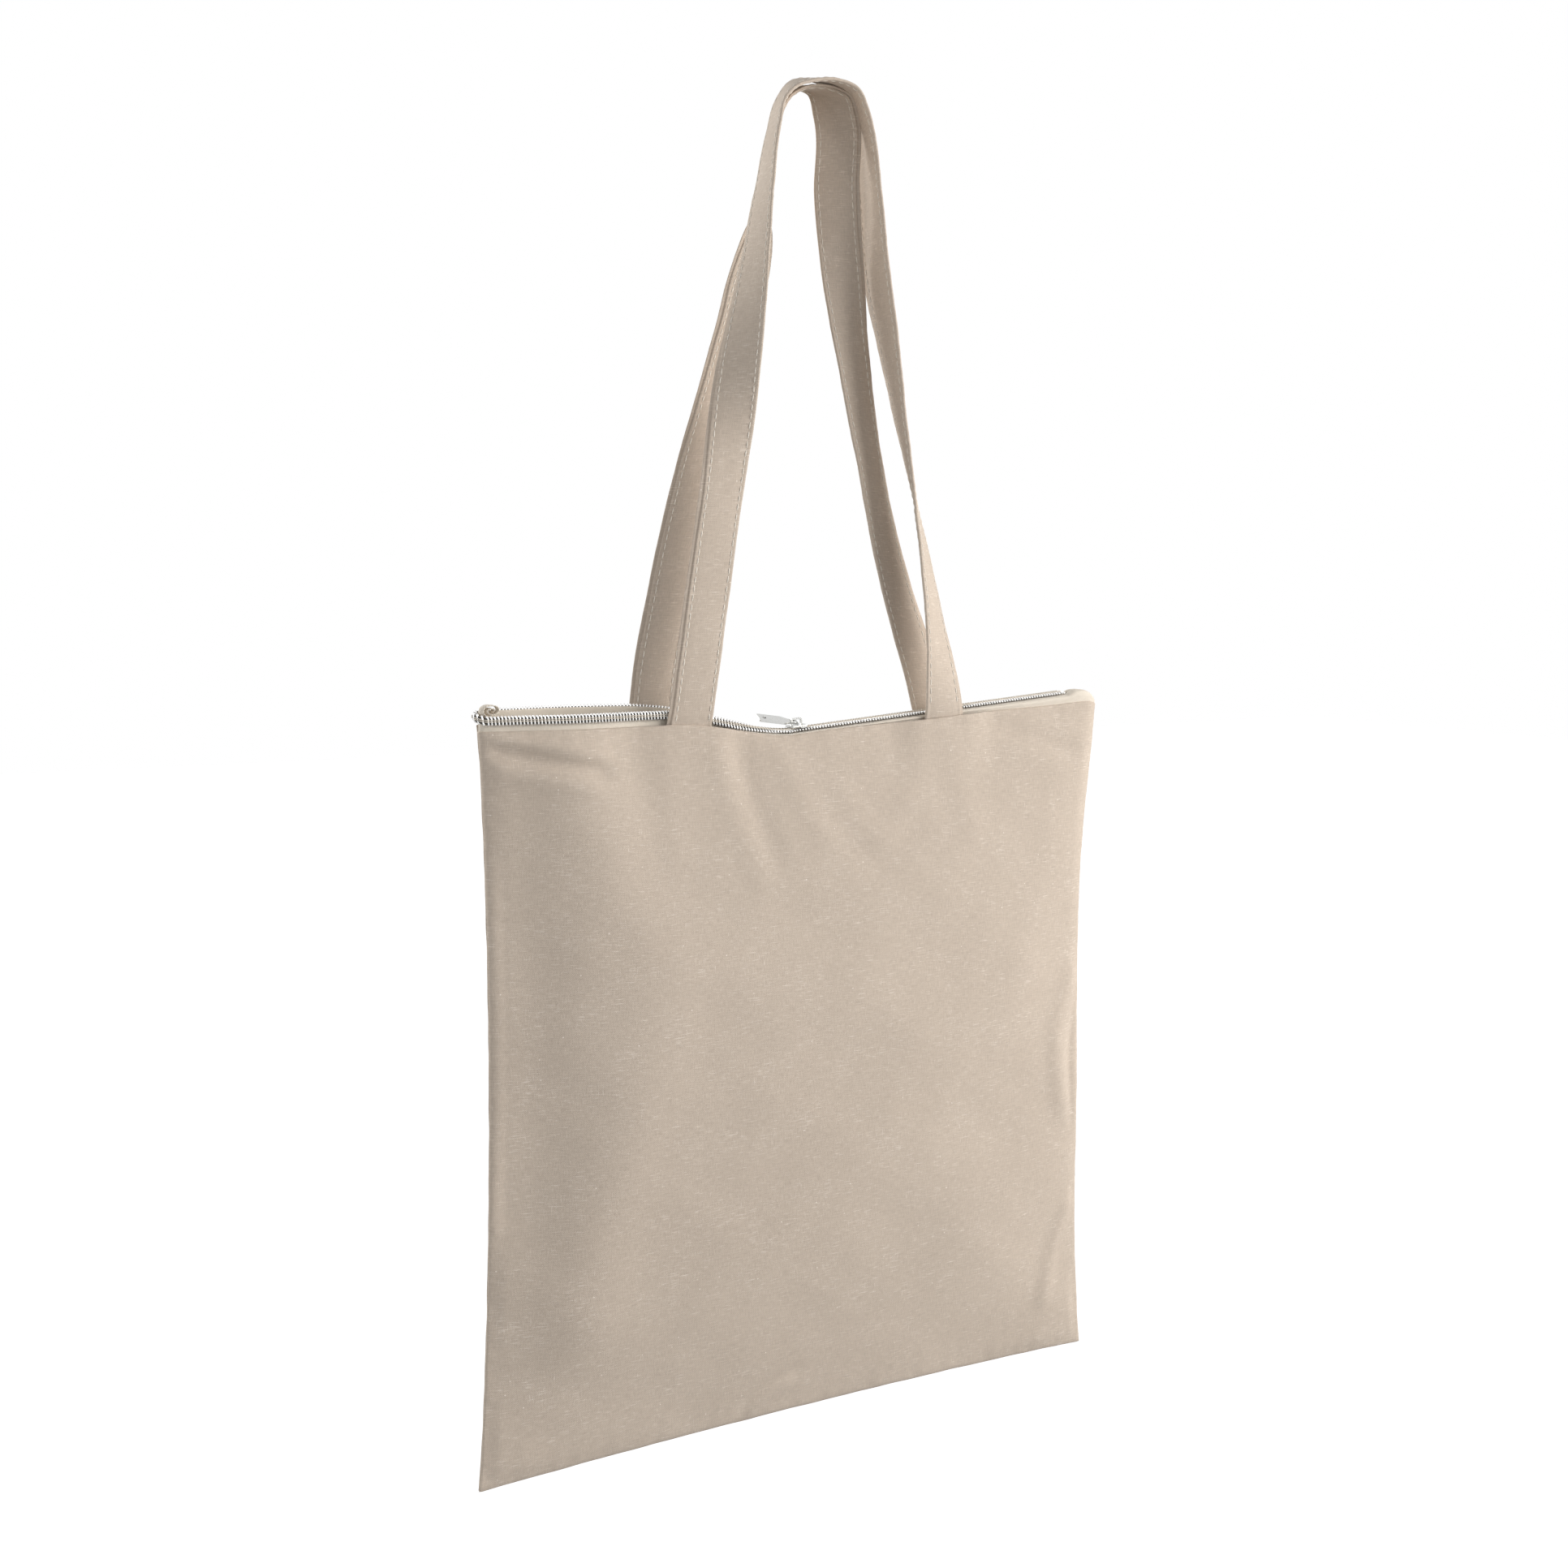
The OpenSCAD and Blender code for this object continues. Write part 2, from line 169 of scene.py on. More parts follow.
# ---- meshes ----
def make_object(name, points, face_groups, weave=None):
    """A smooth mesh object from points in the bag's millimetres and arrays of faces."""
    mesh = bpy.data.meshes.new(name)
    corners = np.concatenate([group.ravel() for group in face_groups]).astype(np.int32)
    counts = np.concatenate([np.full(len(group), group.shape[1]) for group in face_groups])
    starts = np.concatenate([[0], np.cumsum(counts)[:-1]]).astype(np.int32)
    placed = (np.asarray(points, float) + (hang_x, 0, 0)) * MM
    mesh.vertices.add(len(placed))
    mesh.vertices.foreach_set("co", placed.astype(np.float32).ravel())
    mesh.loops.add(len(corners))
    mesh.loops.foreach_set("vertex_index", corners)
    mesh.polygons.add(len(counts))
    mesh.polygons.foreach_set("loop_start", starts)
    mesh.update(calc_edges=True)
    mesh.shade_smooth()
    if weave is not None:
        layer = mesh.uv_layers.new(name="weave")
        layer.data.foreach_set("uv", (weave[corners] * MM).astype(np.float32).ravel())
    obj = bpy.data.objects.new(name, mesh)
    bpy.context.scene.collection.objects.link(obj)
    return obj


def grid_normals(grid):
    return unit(np.cross(np.gradient(grid, axis=0), np.gradient(grid, axis=1)))


def thick_sheet(name, grid, thickness, weave):
    """A sheet with two faces and a rounded edge, from a grid of the points of its middle."""
    ni, nj = grid.shape[:2]
    count = ni * nj
    normals = grid_normals(grid)
    half = thickness / 2
    index = np.arange(count).reshape(ni, nj)
    top = np.stack([index[:-1, :-1], index[1:, :-1], index[1:, 1:], index[:-1, 1:]], -1).reshape(-1, 4)
    bottom = top[:, ::-1] + count
    rim = np.concatenate([index[:-1, 0], index[-1, :-1], index[:0:-1, -1], index[0, :0:-1]])
    flat = grid.reshape(-1, 3)
    flat_normals = normals.reshape(-1, 3)
    direction = np.roll(flat[rim], -1, 0) - np.roll(flat[rim], 1, 0)
    middle = flat[rim] + unit(np.cross(direction, flat_normals[rim])) * half
    mid = 2 * count + np.arange(len(rim))
    rim_next = np.roll(rim, -1)
    mid_next = np.roll(mid, -1)
    under = np.stack([rim + count, rim_next + count, mid_next, mid], -1)
    over = np.stack([mid, mid_next, rim_next, rim], -1)
    points = np.concatenate([flat + flat_normals * half, flat - flat_normals * half, middle])
    weave = weave.reshape(-1, 2)
    weave = np.concatenate([weave, weave, weave[rim]])
    return make_object(name, points, [top, bottom, under, over], weave)


def loft(name, rings, weave):
    """A closed skin through rings of points, with flat ends."""
    steps, sides = rings.shape[:2]
    index = np.arange(steps * sides).reshape(steps, sides)
    a = index[:-1]
    d = index[1:]
    quads = np.stack([a, np.roll(a, -1, 1), np.roll(d, -1, 1), d], -1).reshape(-1, 4)
    ends = np.stack([index[0, ::-1], index[-1]])
    return make_object(name, rings.reshape(-1, 3), [quads, ends], weave.reshape(-1, 2))


def tubes(name, paths, normals, radii, sides):
    """Many tubes in one mesh. paths and normals are (tube, point, 3), radii (tube, point)."""
    along = unit(np.gradient(paths, axis=1))
    normals = unit(normals - along * (normals * along).sum(-1, keepdims=True))
    binormals = np.cross(along, normals)
    turn = 2 * np.pi * np.arange(sides) / sides
    ring = (np.cos(turn)[:, None] * normals[:, :, None] + np.sin(turn)[:, None] * binormals[:, :, None])
    points = paths[:, :, None] + ring * radii[:, :, None, None]
    index = np.arange(points.size // 3).reshape(points.shape[:3])
    a = index[:, :-1]
    d = index[:, 1:]
    quads = np.stack([a, np.roll(a, -1, 2), np.roll(d, -1, 2), d], -1).reshape(-1, 4)
    ends = np.concatenate([index[:, 0, ::-1], index[:, -1]])
    strides = np.linalg.norm(np.diff(paths, axis=1), axis=2)
    length = np.concatenate([np.zeros((len(paths), 1)), np.cumsum(strides, 1)], 1)
    weave = np.stack(np.broadcast_arrays(length[:, :, None], turn[None, None] * 0.3), -1)
    return make_object(name, points.reshape(-1, 3), [quads, ends], weave.reshape(-1, 2))


def ripple(s, waves, seed):
    """Smooth noise from -1 to 1 along a length, made of sines with the given wavelengths."""
    phases = np.random.default_rng(seed).uniform(0, 2 * np.pi, len(waves))
    return sum(np.sin(2 * np.pi * s / wave + phase) for wave, phase in zip(waves, phases)) / len(waves)


def undulation(x, z, wave, count, seed):
    """Smooth noise over a surface: sines of about one wavelength in many directions."""
    local = np.random.default_rng(seed)
    total = 0
    for turn in local.uniform(0, np.pi, count):
        length = wave * local.uniform(0.7, 1.5)
        phase = local.uniform(0, 2 * np.pi)
        total = total + np.sin(2 * np.pi * (x * np.cos(turn) + z * np.sin(turn)) / length + phase)
    return total / math.sqrt(count)


def smooth_line(points, per_step):
    """Points along a smooth curve through the given ones."""
    p = np.asarray(points, float)
    p = np.concatenate([[2 * p[0] - p[1]], p, [2 * p[-1] - p[-2]]])
    t = (np.arange(per_step) / per_step).reshape((-1,) + (1,) * (p.ndim - 1))
    parts = []
    for i in range(1, len(p) - 2):
        a, b, c, d = p[i - 1:i + 3]
        parts.append(0.5 * (2 * b + (c - a) * t + (2 * a - 5 * b + 4 * c - d) * t**2
                            + (3 * b - a - 3 * c + d) * t**3))
    return np.concatenate(parts + [p[-2:-1]])


def fold(x, z, points, width, height):
    """A soft ridge, or a valley if height is negative, along a line of (x, z) points."""
    line = smooth_line(points, 24)
    steps = np.linalg.norm(np.diff(line, axis=0), axis=1)
    middles = (line[1:] + line[:-1]) / 2
    raised = 0
    for (px, pz), step in zip(middles, steps):
        raised = raised + step * np.exp(-((x - px) ** 2 + (z - pz) ** 2) / width**2)
    return height * raised / (math.sqrt(math.pi) * width)


# ---- camera and light ----
def make_camera():
    pitch = math.radians(0.8)
    yaw = math.radians(25.57)
    data = bpy.data.cameras.new("camera")
    data.sensor_width = 36
    data.lens = 35.52
    data.shift_y = -0.105
    camera = bpy.data.objects.new("camera", data)
    camera.location = (np.array((-389.9, -781.9, -275.4)) + (hang_x, 0, 0)) * MM
    camera.rotation_euler = (math.pi / 2 - pitch, 0, -yaw)
    bpy.context.scene.collection.objects.link(camera)
    bpy.context.scene.camera = camera


def make_light(name, location, target, size, energy, colour):
    data = bpy.data.lights.new(name, "AREA")
    data.shape = "DISK"
    data.size = size
    data.energy = energy
    data.color = colour
    light = bpy.data.objects.new(name, data)
    light.visible_camera = False
    light.location = location
    light.rotation_euler = (Vector(target) - Vector(location)).to_track_quat("-Z", "Y").to_euler()
    bpy.context.scene.collection.objects.link(light)


def make_world(glow):
    """An even white studio, which lights the bag with less than what the camera sees."""
    world = bpy.data.worlds.new("studio")
    bpy.context.scene.world = world
    world.use_nodes = True
    nodes = world.node_tree.nodes
    links = world.node_tree.links
    background = nodes["Background"]
    background.inputs["Color"].default_value = (1, 1, 1, 1)
    path = nodes.new("ShaderNodeLightPath")
    seen = maths(nodes, links, "MAXIMUM", path.outputs["Is Camera Ray"], path.outputs["Is Glossy Ray"])
    strength = nodes.new("ShaderNodeMix")
    strength.inputs["A"].default_value = glow
    strength.inputs["B"].default_value = 1
    links.new(seen, strength.inputs["Factor"])
    links.new(strength.outputs["Result"], background.inputs["Strength"])


def make_floor():
    """A plain pale floor, far below the hanging bag."""
    size = 40
    bpy.ops.mesh.primitive_grid_add(x_subdivisions=8, y_subdivisions=8, size=size,
                                    location=(0, 0, -2.4))
    floor = bpy.context.object
    floor.name = "floor"
    floor.visible_diffuse = False
    floor.visible_glossy = False
    floor.visible_shadow = False
    material, nodes, links, shader = new_material("pale_floor")
    noise = nodes.new("ShaderNodeTexNoise")
    noise.inputs["Scale"].default_value = 3
    tone = ramp(nodes, links, noise.outputs["Fac"], (0.93, 0.93, 0.93), (0.97, 0.97, 0.97))
    links.new(tone, shader.inputs["Base Color"])
    shader.inputs["Roughness"].default_value = 0.9
    shader.inputs["Emission Color"].default_value = (1, 1, 1, 1)
    shader.inputs["Emission Strength"].default_value = 0.7
    floor.data.materials.append(material)


# ---- materials ----
def new_material(name):
    material = bpy.data.materials.new(name)
    material.use_nodes = True
    nodes = material.node_tree.nodes
    return material, nodes, material.node_tree.links, nodes["Principled BSDF"]


def maths(nodes, links, operation, a, b=None):
    """One Math node's result. Each input is a socket or a number."""
    node = nodes.new("ShaderNodeMath")
    node.operation = operation
    for socket, value in zip(node.inputs, (a, b)):
        if isinstance(value, bpy.types.NodeSocket):
            links.new(value, socket)
        elif value is not None:
            socket.default_value = value
    return node.outputs[0]


def ramp(nodes, links, factor, low, high, start=0.0, end=1.0):
    """A colour that goes from low to high as factor goes from start to end."""
    node = nodes.new("ShaderNodeValToRGB")
    node.color_ramp.elements[0].position = start
    node.color_ramp.elements[0].color = (*low, 1)
    node.color_ramp.elements[1].position = end
    node.color_ramp.elements[1].color = (*high, 1)
    links.new(factor, node.inputs["Fac"])
    return node.outputs["Color"]


def blend_colour(nodes, links, mode, factor, a, b):
    node = nodes.new("ShaderNodeMix")
    node.data_type = "RGBA"
    node.blend_type = mode
    sockets = (node.inputs[0], node.inputs[6], node.inputs[7])
    for socket, value in zip(sockets, (factor, a, b)):
        if isinstance(value, bpy.types.NodeSocket):
            links.new(value, socket)
        else:
            socket.default_value = value if isinstance(value, float) else (*value, 1)
    return node.outputs[2]


def weave_place(nodes, links):
    """The place on the cloth, from the weave map, whole and as separate coordinates."""
    uv = nodes.new("ShaderNodeUVMap")
    uv.uv_map = "weave"
    split = nodes.new("ShaderNodeSeparateXYZ")
    links.new(uv.outputs["UV"], split.inputs[0])
    return uv.outputs["UV"], split.outputs[0], split.outputs[1]


def add_relief(nodes, links, shader, height, strength, depth_mm):
    """Bump from a height between about 0 and 1."""
    relief = nodes.new("ShaderNodeBump")
    relief.inputs["Strength"].default_value = strength
    relief.inputs["Distance"].default_value = depth_mm * MM
    links.new(height, relief.inputs["Height"])
    links.new(relief.outputs["Normal"], shader.inputs["Normal"])


def stretched_noise(nodes, links, weave, across_mm, along_mm, detail):
    """Noise drawn out along the cloth: one size across and another along, in millimetres."""
    scale = nodes.new("ShaderNodeVectorMath")
    scale.operation = "MULTIPLY"
    scale.inputs[1].default_value = (1 / (across_mm * MM), 1 / (along_mm * MM), 1)
    links.new(weave, scale.inputs[0])
    noise = nodes.new("ShaderNodeTexNoise")
    noise.inputs["Scale"].default_value = 1
    noise.inputs["Detail"].default_value = detail
    links.new(scale.outputs[0], noise.inputs["Vector"])
    return noise.outputs["Fac"]


def cloth_material(name, dark, light, thread_mm, slub, bump, specks, sheen):
    """Plain-woven cotton: threads over and under, uneven yarn, pale slubs and white specks."""
    material, nodes, links, shader = new_material(name)
    weave, across, along = weave_place(nodes, links)
    turns = math.pi / (thread_mm * MM)
    warp_wave = maths(nodes, links, "SINE", maths(nodes, links, "MULTIPLY", across, turns))
    weft_wave = maths(nodes, links, "SINE", maths(nodes, links, "MULTIPLY", along, turns))
    crossing = maths(nodes, links, "MULTIPLY", warp_wave, weft_wave)
    warp_yarn = stretched_noise(nodes, links, weave, 0.6, 4, 2)
    weft_yarn = stretched_noise(nodes, links, weave, 6, 0.55, 2)
    yarn = maths(nodes, links, "ADD", warp_yarn, weft_yarn)
    tone = maths(nodes, links, "MULTIPLY_ADD", yarn, 0.5)
    tone.node.inputs[2].default_value = 0
    cloud = stretched_noise(nodes, links, weave, 60, 80, 3)
    fine_part = maths(nodes, links, "MULTIPLY", tone, 0.85)
    broad_part = maths(nodes, links, "MULTIPLY", cloud, 0.15)
    unevenness = maths(nodes, links, "ADD", fine_part, broad_part)
    base = ramp(nodes, links, unevenness, dark, light, 0.32, 0.68)
    weft_slubs = stretched_noise(nodes, links, weave, 6.5, 0.6, 2)
    warp_slubs = stretched_noise(nodes, links, weave, 0.6, 4.5, 2)
    patches = stretched_noise(nodes, links, weave, 26, 20, 2)
    fewer_warp_slubs = maths(nodes, links, "SUBTRACT", warp_slubs, 0.04)
    thick_yarn = maths(nodes, links, "MAXIMUM", weft_slubs, fewer_warp_slubs)
    patchiness = maths(nodes, links, "MULTIPLY", patches, 0.25)
    thick_yarn = maths(nodes, links, "ADD", thick_yarn, patchiness)
    slubs = ramp(nodes, links, thick_yarn, (0, 0, 0), (slub, slub, slub), 0.72, 0.88)
    fibre = blend_colour(nodes, links, "ADD", 1.0, base, slubs)
    speck_apart = 9 * MM
    spots = nodes.new("ShaderNodeTexVoronoi")
    spots.inputs["Scale"].default_value = 1 / speck_apart
    links.new(weave, spots.inputs["Vector"])
    bright = (specks, specks, specks)
    speck = ramp(nodes, links, spots.outputs["Distance"], bright, (0, 0, 0), 0.02, 0.05)
    colour = blend_colour(nodes, links, "ADD", 1.0, fibre, speck)
    links.new(colour, shader.inputs["Base Color"])
    roughness = maths(nodes, links, "MULTIPLY_ADD", warp_yarn, 0.12)
    roughness.node.inputs[2].default_value = 0.8
    links.new(roughness, shader.inputs["Roughness"])
    shader.inputs["Sheen Weight"].default_value = sheen
    shader.inputs["Sheen Roughness"].default_value = 0.45
    shader.inputs["Specular IOR Level"].default_value = 0.25
    height = maths(nodes, links, "ADD", maths(nodes, links, "MULTIPLY", crossing, 0.4), yarn)
    add_relief(nodes, links, shader, height, bump, 0.15)
    return material


def tape_material():
    """Twill tape: a fine herringbone rib with a slight cream variation."""
    material, nodes, links, shader = new_material("zip_tape_twill")
    weave, across, along = weave_place(nodes, links)
    rib_apart = 0.9 * MM
    band_w = 1.6 * MM
    slant = maths(nodes, links, "ADD", across, maths(nodes, links, "PINGPONG", along, band_w))
    ribs = maths(nodes, links, "SINE", maths(nodes, links, "MULTIPLY", slant, 2 * math.pi / rib_apart))
    noise = stretched_noise(nodes, links, weave, 3, 1, 3)
    height = maths(nodes, links, "ADD", maths(nodes, links, "MULTIPLY", ribs, 0.5), noise)
    colour = ramp(nodes, links, height, (0.68, 0.61, 0.515), (0.88, 0.81, 0.71), 0.1, 0.95)
    links.new(colour, shader.inputs["Base Color"])
    shader.inputs["Roughness"].default_value = 0.78
    shader.inputs["Sheen Weight"].default_value = 0.15
    add_relief(nodes, links, shader, height, 0.5, 0.15)
    return material


def thread_material(name, dark, light):
    """Two-ply sewing thread with a visible twist."""
    material, nodes, links, shader = new_material(name)
    weave, along, around = weave_place(nodes, links)
    twist_l = 0.7 * MM
    lean = maths(nodes, links, "ADD", along, around)
    plies = maths(nodes, links, "SINE", maths(nodes, links, "MULTIPLY", lean, 2 * math.pi / twist_l))
    fuzz = stretched_noise(nodes, links, weave, 0.5, 0.5, 2)
    height = maths(nodes, links, "ADD", maths(nodes, links, "MULTIPLY", plies, 0.3), fuzz)
    links.new(ramp(nodes, links, height, dark, light, 0.2, 0.8), shader.inputs["Base Color"])
    shader.inputs["Roughness"].default_value = 0.6
    shader.inputs["Sheen Weight"].default_value = 0.2
    add_relief(nodes, links, shader, height, 0.4, 0.1)
    return material


def metal_material(name, dark, light, roughness, grain_mm, metallic):
    """Polished or plated metal with fine handling marks."""
    material, nodes, links, shader = new_material(name)
    place = nodes.new("ShaderNodeTexCoord")
    noise = nodes.new("ShaderNodeTexNoise")
    noise.inputs["Scale"].default_value = 1 / (grain_mm * MM)
    noise.inputs["Detail"].default_value = 5
    links.new(place.outputs["Object"], noise.inputs["Vector"])
    colour = ramp(nodes, links, noise.outputs["Fac"], dark, light, 0.3, 0.7)
    links.new(colour, shader.inputs["Base Color"])
    rough = maths(nodes, links, "MULTIPLY_ADD", noise.outputs["Fac"], 0.2)
    rough.node.inputs[2].default_value = roughness - 0.1
    links.new(rough, shader.inputs["Roughness"])
    shader.inputs["Metallic"].default_value = metallic
    add_relief(nodes, links, shader, noise.outputs["Fac"], 0.12, 0.05)
    return material


# ---- panels ----
# each fold: points (x, z), half width and height outwards
FRONT_FOLDS = [
    ([(-150, -356), (-116, -420), (-96, -482), (-108, -545), (-130, -606), (-142, -671)], 26, 4.2),
    ([(-172, -420), (-162, -500), (-168, -610)], 20, -2.2),
    ([(-186, -346), (-166, -350), (-148, -354), (-124, -358)], 5, 1.4),
    ([(-186, -353), (-166, -358), (-148, -362), (-124, -367)], 5, -2.4),
    ([(-184, -363), (-160, -369), (-130, -376)], 6, 0.9),
    ([(-50, -350), (-42, -380), (-26, -424)], 8, -1.2),
    ([(-62, -352), (-54, -384), (-34, -436)], 8, 0.6),
    ([(-24, -352), (-14, -380), (4, -412)], 8, 0.8),
    ([(12, -378), (24, -402), (38, -414), (52, -404), (60, -386)], 9, 0.9),
    ([(14, -392), (38, -428), (64, -398)], 10, -0.7),
    ([(88, -352), (92, -380), (104, -420)], 9, 0.6),
    ([(-86, -352), (-90, -384), (-84, -420)], 9, 0.5),
    ([(124, -354), (150, -360), (178, -370)], 7, -1.0),
    ([(182, -372), (150, -440), (128, -520)], 24, 1.4),
    ([(180, -500), (164, -540), (170, -590)], 8, 2.0),
    ([(184, -520), (176, -560), (182, -600)], 5, -1.6),
    ([(178, -640), (164, -672), (156, -706)], 6, 1.4),
    ([(-40, -732), (-30, -722), (-12, -714)], 4, 1.0),
    ([(-44, -726), (-30, -716), (-8, -708)], 4, -0.7),
    ([(-180, -724), (-120, -640), (-60, -600)], 34, 1.8),
    ([(60, -600), (110, -660), (176, -722)], 30, 1.6),
]
REAR_FOLDS = [
    ([(120, -356), (96, -420), (88, -500)], 22, 3.4),
    ([(-20, -352), (-10, -390), (14, -440)], 9, -1.4),
    ([(30, -352), (22, -396), (30, -450)], 10, 1.2),
    ([(-88, -352), (-84, -388), (-92, -430)], 9, 1.0),
    ([(-178, -380), (-150, -450), (-128, -540)], 24, 3.0),
    ([(182, -520), (168, -560), (174, -610)], 8, 1.6),
    ([(-180, -722), (-110, -650), (-50, -610)], 32, 1.8),
    ([(60, -610), (120, -670), (178, -724)], 30, 1.6),
]
panel_columns = 214
panel_rows = 222
strap_feet = {FRONT: (-75.6, 84.2), REAR: (-91.4, 85.2)}
foot_room = {FRONT: 3.3, REAR: 4.2}


def foot_bump(x, drop, side):
    """How far the mouth seam stands out where it holds the ends of a strap."""
    total = 0
    for foot in strap_feet[side]:
        total = total + smooth((37 - np.abs(x - foot)) / 23)
    return foot_room[side] * total * np.exp(-((np.maximum(drop, 0) / 30) ** 2))


def panel(name, side, folds, seed):
    """One panel: the frame's panel shape with folds, tension lines and seam puckers."""
    even_u = np.linspace(-1, 1, panel_columns)
    even_v = np.linspace(0, 1, panel_rows)
    # columns are closer together near the side seams, and rows near the mouth
    close_u = -np.cos(np.linspace(0, np.pi, panel_columns))
    close_v = 1 - np.cos(np.linspace(0.0, np.pi / 2, panel_rows))
    u, v = np.meshgrid(close_u * 0.45 + even_u * 0.55, mix(close_v, even_v, 0.6), indexing="ij")
    if side == FRONT:
        u = u[::-1]
    bulge = np.sin(np.pi * v)
    lean = np.maximum(u, 0) ** 3
    top_x = u * half_w + right_reach * lean
    top_z = seam_z(top_x) + rear_lift(top_x, side)
    z = mix(top_z, bottom_z(u), v)
    fall = top_z - z
    sway = right_reach * np.exp(-((fall / 70) ** 2)) - right_lean_in * smooth((fall - 220) / 120)
    x = u * (half_w - side_bow * bulge**0.7) + sway * lean
    out = mix(edge_half, mouth_gap(top_x), (1 - v) ** 1.6)
    out = out + belly * np.maximum(0, 1 - np.abs(u) ** 2.2) ** 0.8 * bulge**0.8
    from_side = half_w * (1 - np.abs(u))
    from_bottom = z - bottom_z(u)
    inside = smooth(from_side / 9) * smooth(from_bottom / 8) * smooth((fall + 1) / 7)
    relief = 0.42 * undulation(x, z, 95, 9, seed) + 0.09 * undulation(x, z, 26, 12, seed + 1)
    for points, width, height in folds:
        relief = relief + fold(x, z, points, width, height)
    out = out + relief * inside
    # the seams gather the cloth a little
    side_pucker = ripple(z + 40 * np.sign(u), (11, 17, 29), seed + 2) * np.exp(-from_side / 9)
    bottom_pucker = ripple(x, (10, 16, 27), seed + 3) * np.exp(-from_bottom / 8)
    top_pucker = ripple(x, (9, 15, 23), seed + 4) * np.exp(-fall / 7)
    gather = 0.45 * side_pucker * smooth(from_side / 3) + 0.4 * bottom_pucker * smooth(from_bottom / 3)
    out = out + gather + 0.25 * top_pucker + foot_bump(x, fall, side)
    x = x + np.sign(u) * 0.18 * ripple(z, (19, 31, 47), seed + 5) * np.exp(-from_side / 4)
    z = z + 0.15 * ripple(x, (21, 37, 55), seed + 6) * np.exp(-from_bottom / 4)
    out = np.maximum(out, edge_half)
    grid = np.stack([x, side * out, z], -1)
    weave = np.stack([x, z], -1)
    return thick_sheet(name, grid, cloth_t, weave)


# ---- seam allowances and turned edges inside the bag ----
seam_in = 6
seam_band = 7
seam_t = 1.2                      # two layers, pressed flat
overlock_pitch = 2.4


def overlock(name, edge, across, normal, reach):
    """Thread that binds a raw edge: slanted stitches over it, joined by a loop along it."""
    strides = np.linalg.norm(np.diff(edge, axis=0), axis=1)
    length = np.concatenate([[0], np.cumsum(strides)])
    count = int(length[-1] / overlock_pitch) * 2
    s = np.linspace(0, length[-1], count)
    at = np.stack([np.interp(s, length, edge[:, k]) for k in range(3)], -1)
    sway = np.where(np.arange(count) % 2 == 0, 0.15, -reach)[:, None]
    lift = np.where(np.arange(count) % 2 == 0, 0.0, 0.75)[:, None]
    line = smooth_line(at + across * sway + normal * lift, 4)
    radii = np.full((1, len(line)), 0.2)
    normals = np.broadcast_to(np.asarray(normal, float), line.shape)[None]
    return tubes(name, line[None], normals, radii, 6)


def allowance(name, side):
    """Doubled cloth along a side seam, inside the bag."""
    v = np.linspace(1 / 19, 18 / 19, 190)
    wave = ripple(v * bag_h, (23, 41, 67), 20 + side)
    outer = half_w - side_bow * np.sin(np.pi * v) ** 0.7 - seam_in
    z = mix(seam_z(side * half_w), bottom_z(1), v)
    share = np.linspace(0, 1, 9)
    x = side * (outer[:, None] - seam_band * share[None, :])
    y = 0.35 * wave[:, None] * share[None, :] ** 2
    grid = np.stack([x, y, np.broadcast_to(z[:, None], x.shape)], -1)
    piece = thick_sheet(name, grid, seam_t, np.stack([grid[..., 0], grid[..., 2]], -1))
    thread = overlock(name + "_thread", grid[:, -1], (-side, 0, 0), (0, -1, 0), reach=3)
    return piece, thread


def bottom_allowance():
    """Doubled cloth along the bottom seam, inside the bag."""
    u = np.linspace(-0.9, 0.9, 200)
    share = np.linspace(0, 1, 9)
    x = np.broadcast_to((u * half_w)[:, None], (200, 9))
    z = bottom_z(u)[:, None] + seam_in + seam_band * share[None, :]
    y = 0.4 * ripple(x, (27, 43, 71), 31) * share[None, :] ** 2
    grid = np.stack([x, y, z], -1)
    piece = thick_sheet("bottom_allowance", grid, seam_t, np.stack([x, z], -1))
    thread = overlock("bottom_allowance_thread", grid[:, -1], (0, 0, 1), (0, -1, 0), reach=3)
    return piece, thread


def turned_edge(name, side):
    """The top edge of a panel, turned in and sewn to the tape."""
    x = np.linspace(-half_w + 9, half_w - 9, 240)
    share = np.linspace(0, 1, 9)
    wave = ripple(x, (19, 33, 51), 40 + side)
    y = mouth_gap(x) - tape_inset - tape_t / 2 - 0.7
    y = side * (y[:, None] + 0.3 * wave[:, None] * share[None, :] ** 2 - 0.4 * share[None, :])
    z = (seam_z(x) + rear_lift(x, side))[:, None] - 0.5 - 9 * share[None, :]
    grid = np.stack([np.broadcast_to(x[:, None], y.shape), y, z], -1)
    piece = thick_sheet(name, grid, 1.0, np.stack([grid[..., 0], z], -1))
    thread = overlock(name + "_thread", grid[:, -1], (0, 0, -1), (0, -side, 0), reach=2.6)
    return piece, thread


# ---- zip: flat where closed, upright where undone, wrapped round the left corner ----
coil_pitch = 1.8
wire_r = 0.38
corner_r = 3.9
coil_end = 173                    # the coil ends short of the closed corner


